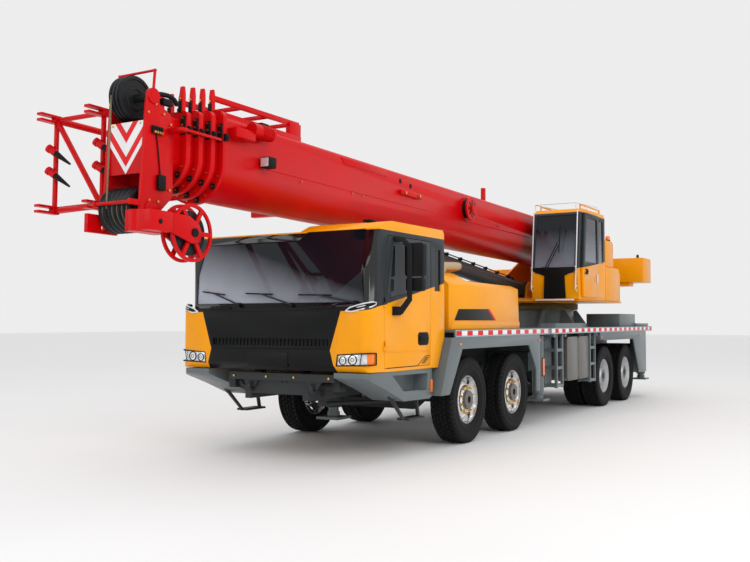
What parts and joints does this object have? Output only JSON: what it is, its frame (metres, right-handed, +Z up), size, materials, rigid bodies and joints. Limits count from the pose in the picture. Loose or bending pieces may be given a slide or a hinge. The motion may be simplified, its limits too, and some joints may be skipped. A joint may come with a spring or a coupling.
{
  "type": "truck crane",
  "caption": "Road-going mobile crane: low-deck truck with a slewing upper, telescopic boom, stowed lattice jib, luffing cylinder, outriggers and two glazed cabs.",
  "frame": {"origin": "on the ground under the middle of the whole machine, boom and counterweight included", "axes": "+X forward over the driver's cab, +Y to the driver's left, +Z up"},
  "size_m": [13.8007, 3.08, 3.7519],
  "materials": {
    "slate": "satin slate-grey paint",
    "yellow": "gloss yellow-orange paint",
    "orange": "gloss orange paint",
    "red": "gloss red paint",
    "black_panel": "gloss black",
    "glass": "tinted glazing",
    "trim": "matt dark grey",
    "lamp": "clear lens",
    "iron": "dark chassis paint",
    "ring": "greased gear steel",
    "tyre": "road tyre rubber on a steel rim",
    "steel": "ground rod",
    "sheave": "cast nylon",
    "drum": "dark painted drum"
  },
  "bodies": {
    "carrier": {"chassis_frame": "slate", "deck": "slate", "side_skirts": "slate", "steps": "slate", "side_boxes": "slate", "cab_shell": "yellow", "cab_front_panel": "black_panel", "cab_glass": "glass", "cab_interior": "trim", "lamps": "lamp", "engine": "iron", "engine_cover": "yellow", "axles": "iron", "slew_ring": "ring"},
    "cab_door_left": {"door_left": "yellow", "door_left_glass": "glass"},
    "cab_door_right": {"door_right": "yellow", "door_right_glass": "glass"},
    "upper_works": {"turntable": "orange", "upper_covers": "orange", "counterweight": "orange", "operator_cab": "orange", "operator_glass": "glass", "operator_seat": "trim"},
    "operators_door": {"operator_door": "orange", "operator_door_glass": "glass"},
    "main_winch": {"winch_main": "drum"},
    "second_winch": {"winch_aux": "drum"},
    "boom": {"boom_base": "red", "jib": "red"},
    "section_2": {"boom_section_2": "red"},
    "section_3": {"boom_section_3": "red"},
    "section_4": {"boom_section_4": "red"},
    "head": {"boom_head": "red"},
    "head_top_sheaves": {"top_sheaves": "sheave"},
    "head_lower_sheaves": {"lower_sheaves": "sheave"},
    "luffing_barrel": {"luff_barrel": "slate"},
    "luffing_rod": {"luff_rod": "steel"},
    "nose_jack": {"leg_nose": "steel"},
    "knuckle_body_1_left": {"knuckle_1_left": "iron"},
    "wheel_body_1_left": {"wheel_1_left": "tyre"},
    "knuckle_body_1_right": {"knuckle_1_right": "iron"},
    "wheel_body_1_right": {"wheel_1_right": "tyre"},
    "knuckle_body_2_left": {"knuckle_2_left": "iron"},
    "wheel_body_2_left": {"wheel_2_left": "tyre"},
    "knuckle_body_2_right": {"knuckle_2_right": "iron"},
    "wheel_body_2_right": {"wheel_2_right": "tyre"},
    "wheel_body_3_left": {"wheel_3_left": "tyre"},
    "wheel_body_3_right": {"wheel_3_right": "tyre"},
    "wheel_body_4_left": {"wheel_4_left": "tyre"},
    "wheel_body_4_right": {"wheel_4_right": "tyre"},
    "outrigger_front_left": {"beam_front_left": "slate"},
    "jack_front_left": {"leg_front_left": "steel"},
    "outrigger_front_right": {"beam_front_right": "slate"},
    "jack_front_right": {"leg_front_right": "steel"},
    "outrigger_rear_left": {"beam_rear_left": "slate"},
    "jack_rear_left": {"leg_rear_left": "steel"},
    "outrigger_rear_right": {"beam_rear_right": "slate"},
    "jack_rear_right": {"leg_rear_right": "steel"}
  },
  "joints": [
    {"name": "steer_1_left", "type": "hinge", "parent": "carrier", "child": "knuckle_body_1_left", "pos_m": [2.179, 0.93, 0.53], "axis": [0, 0, 1], "range_deg": [-34, 34]},
    {"name": "wheel_turn_1_left", "type": "hinge", "parent": "knuckle_body_1_left", "child": "wheel_body_1_left", "pos_m": [2.179, 1.13, 0.53], "axis": [0, 1, 0], "continuous": true},
    {"name": "steer_1_right", "type": "hinge", "parent": "carrier", "child": "knuckle_body_1_right", "pos_m": [2.179, -0.93, 0.53], "axis": [0, 0, 1], "range_deg": [-34, 34]},
    {"name": "wheel_turn_1_right", "type": "hinge", "parent": "knuckle_body_1_right", "child": "wheel_body_1_right", "pos_m": [2.179, -1.13, 0.53], "axis": [0, 1, 0], "continuous": true},
    {"name": "steer_2_left", "type": "hinge", "parent": "carrier", "child": "knuckle_body_2_left", "pos_m": [0.729, 0.93, 0.53], "axis": [0, 0, 1], "range_deg": [-26, 26]},
    {"name": "wheel_turn_2_left", "type": "hinge", "parent": "knuckle_body_2_left", "child": "wheel_body_2_left", "pos_m": [0.729, 1.13, 0.53], "axis": [0, 1, 0], "continuous": true},
    {"name": "steer_2_right", "type": "hinge", "parent": "carrier", "child": "knuckle_body_2_right", "pos_m": [0.729, -0.93, 0.53], "axis": [0, 0, 1], "range_deg": [-26, 26]},
    {"name": "wheel_turn_2_right", "type": "hinge", "parent": "knuckle_body_2_right", "child": "wheel_body_2_right", "pos_m": [0.729, -1.13, 0.53], "axis": [0, 1, 0], "continuous": true},
    {"name": "wheel_turn_3_left", "type": "hinge", "parent": "carrier", "child": "wheel_body_3_left", "pos_m": [-3.521, 0.95, 0.53], "axis": [0, 1, 0], "continuous": true},
    {"name": "wheel_turn_3_right", "type": "hinge", "parent": "carrier", "child": "wheel_body_3_right", "pos_m": [-3.521, -0.95, 0.53], "axis": [0, 1, 0], "continuous": true},
    {"name": "wheel_turn_4_left", "type": "hinge", "parent": "carrier", "child": "wheel_body_4_left", "pos_m": [-4.871, 0.95, 0.53], "axis": [0, 1, 0], "continuous": true},
    {"name": "wheel_turn_4_right", "type": "hinge", "parent": "carrier", "child": "wheel_body_4_right", "pos_m": [-4.871, -0.95, 0.53], "axis": [0, 1, 0], "continuous": true},
    {"name": "left_door_hinge", "type": "hinge", "parent": "carrier", "child": "cab_door_left", "pos_m": [4.216, 1.264, 1.5], "axis": [0, 0, -1], "range_deg": [0, 75]},
    {"name": "right_door_hinge", "type": "hinge", "parent": "carrier", "child": "cab_door_right", "pos_m": [4.216, -1.264, 1.5], "axis": [0, 0, 1], "range_deg": [0, 75]},
    {"name": "beam_out_front_left", "type": "slide", "parent": "carrier", "child": "outrigger_front_left", "axis": [0, 1, 0], "range_m": [0, 2]},
    {"name": "jack_down_front_left", "type": "slide", "parent": "outrigger_front_left", "child": "jack_front_left", "axis": [0, 0, -1], "range_m": [0, 0.6]},
    {"name": "beam_out_front_right", "type": "slide", "parent": "carrier", "child": "outrigger_front_right", "axis": [0, -1, 0], "range_m": [0, 2]},
    {"name": "jack_down_front_right", "type": "slide", "parent": "outrigger_front_right", "child": "jack_front_right", "axis": [0, 0, -1], "range_m": [0, 0.6]},
    {"name": "beam_out_rear_left", "type": "slide", "parent": "carrier", "child": "outrigger_rear_left", "axis": [0, 1, 0], "range_m": [0, 2]},
    {"name": "jack_down_rear_left", "type": "slide", "parent": "outrigger_rear_left", "child": "jack_rear_left", "axis": [0, 0, -1], "range_m": [0, 0.6]},
    {"name": "beam_out_rear_right", "type": "slide", "parent": "carrier", "child": "outrigger_rear_right", "axis": [0, -1, 0], "range_m": [0, 2]},
    {"name": "jack_down_rear_right", "type": "slide", "parent": "outrigger_rear_right", "child": "jack_rear_right", "axis": [0, 0, -1], "range_m": [0, 0.6]},
    {"name": "nose_jack_down", "type": "slide", "parent": "carrier", "child": "nose_jack", "axis": [0, 0, -1], "range_m": [0, 0.4]},
    {"name": "slew", "type": "hinge", "parent": "carrier", "child": "upper_works", "pos_m": [-3.521, 0, 1.9], "axis": [0, 0, 1], "continuous": true},
    {"name": "operators_door_slide", "type": "slide", "parent": "upper_works", "child": "operators_door", "axis": [-1, 0, 0], "range_m": [0, 0.5]},
    {"name": "luff", "type": "hinge", "parent": "upper_works", "child": "boom", "pos_m": [-4.921, 0, 2.96], "axis": [0, -1, 0], "range_deg": [0, 78]},
    {"name": "luff_barrel_swing", "type": "hinge", "parent": "upper_works", "child": "luffing_barrel", "pos_m": [-2.721, 0, 2.05], "axis": [0, -1, 0], "range_deg": [0, 87.73]},
    {"name": "luff_rod_slide", "type": "slide", "parent": "luffing_barrel", "child": "luffing_rod", "axis": [0.995, 0, 0.0995], "range_m": [0, 2.8614]},
    {"name": "telescope_2", "type": "slide", "parent": "boom", "child": "section_2", "axis": [0.9998, 0, 0.0175], "range_m": [0, 7.7]},
    {"name": "telescope_3", "type": "slide", "parent": "section_2", "child": "section_3", "axis": [0.9998, 0, 0.0175], "range_m": [0, 7.7]},
    {"name": "telescope_4", "type": "slide", "parent": "section_3", "child": "section_4", "axis": [0.9998, 0, 0.0175], "range_m": [0, 7.7]},
    {"name": "telescope_5", "type": "slide", "parent": "section_4", "child": "head", "axis": [0.9998, 0, 0.0175], "range_m": [0, 7.7]},
    {"name": "top_sheaves_turn", "type": "hinge", "parent": "head", "child": "head_top_sheaves", "pos_m": [6.56333, 0, 3.49951], "axis": [0, 1, 0], "continuous": true},
    {"name": "lower_sheaves_turn", "type": "hinge", "parent": "head", "child": "head_lower_sheaves", "pos_m": [6.58101, 0, 2.48667], "axis": [0, 1, 0], "continuous": true},
    {"name": "main_winch_turn", "type": "hinge", "parent": "upper_works", "child": "main_winch", "pos_m": [-5.721, 0, 2.62], "axis": [0, 1, 0], "continuous": true},
    {"name": "second_winch_turn", "type": "hinge", "parent": "upper_works", "child": "second_winch", "pos_m": [-6.311, 0, 2.62], "axis": [0, 1, 0], "continuous": true}
  ],
  "couplings": [
    {"joint": "steer_1_right", "follows": "steer_1_left", "ratio": 1},
    {"joint": "steer_2_left", "follows": "steer_1_left", "ratio": 0.76471},
    {"joint": "steer_2_right", "follows": "steer_1_left", "ratio": 0.76471},
    {"joint": "luff_barrel_swing", "follows": "luff", "ratio": 1.1246},
    {"joint": "luff_rod_slide", "follows": "luff", "m_per_rad": 2.1015},
    {"joint": "telescope_3", "follows": "telescope_2", "ratio": 1},
    {"joint": "telescope_4", "follows": "telescope_2", "ratio": 1},
    {"joint": "telescope_5", "follows": "telescope_2", "ratio": 1}
  ]
}
